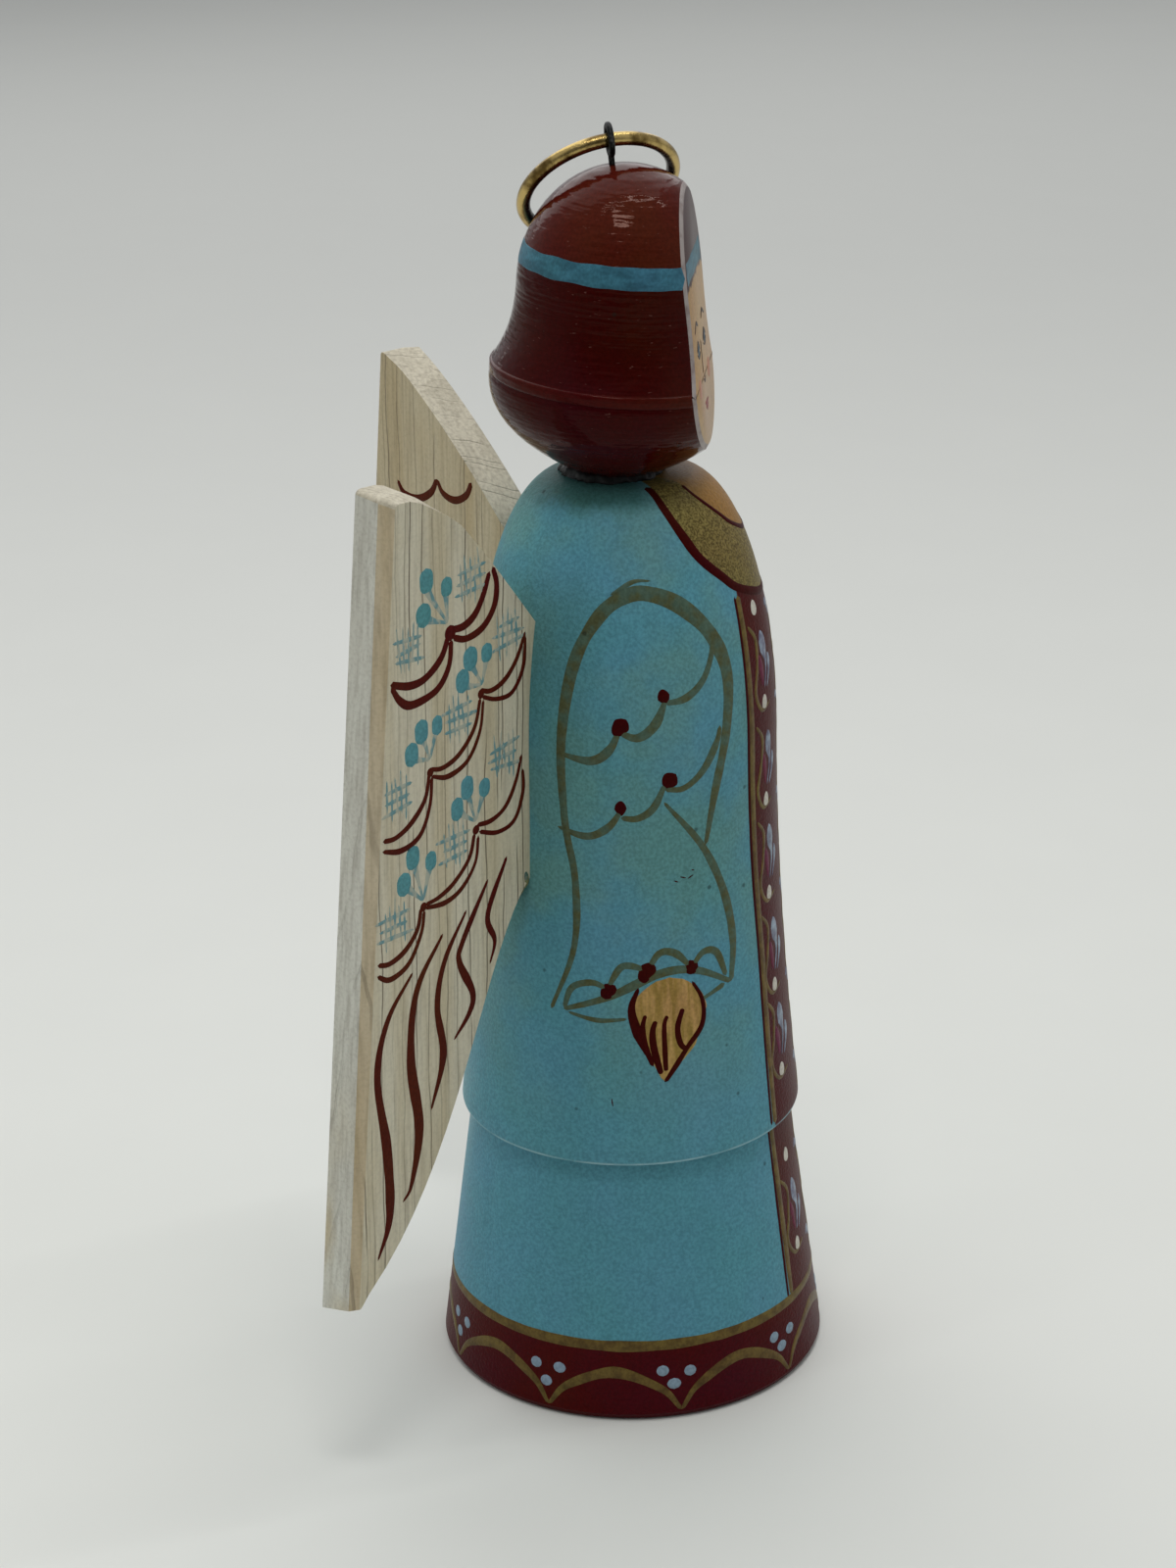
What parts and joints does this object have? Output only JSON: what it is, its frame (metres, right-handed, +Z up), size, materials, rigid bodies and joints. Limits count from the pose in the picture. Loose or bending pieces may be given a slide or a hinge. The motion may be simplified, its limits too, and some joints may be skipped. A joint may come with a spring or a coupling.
{
  "type": "carved wooden angel ornament",
  "caption": "Turned and painted wooden angel with sawn wings let into its back, a screw eye in the crown and a loose wire ring to hang it by; it also stands on its flat base.",
  "frame": {"origin": "centre of the flat base, on the table", "axes": "+Z up along the robe's turning axis, the angel looks towards -Y, its right wing is on the -X side"},
  "size_m": [0.0594, 0.046, 0.1186],
  "materials": {
    "robe_paint": "brush-painted teal blue with dark red and gold, varnished",
    "hair_paint": "dark maroon paint, glossy varnish",
    "bare_wood": "bare lime wood",
    "dark_glue": "dried glue darkened by paint",
    "wing_wash": "thin off-white wash over visible grain, varnished",
    "wood_glue": "dried yellow wood glue",
    "black_steel": "blackened steel wire",
    "brass_wire": "polished brass wire"
  },
  "bodies": {
    "figure": {"body": "robe_paint", "head": "hair_paint", "neck_dowel": "bare_wood", "neck_glue": "dark_glue", "right_wing": "wing_wash", "left_wing": "wing_wash", "right_wing_glue": "wood_glue", "left_wing_glue": "wood_glue", "screw_eye": "black_steel"},
    "ring": {"hanging_ring": "brass_wire"}
  },
  "joints": [
    {"name": "ring_swing", "type": "hinge", "parent": "figure", "child": "ring", "pos_m": [0, 0.00088, 0.11692], "axis": [0.2924, -0.9527, 0.0833], "range_deg": [0, 269]}
  ]
}
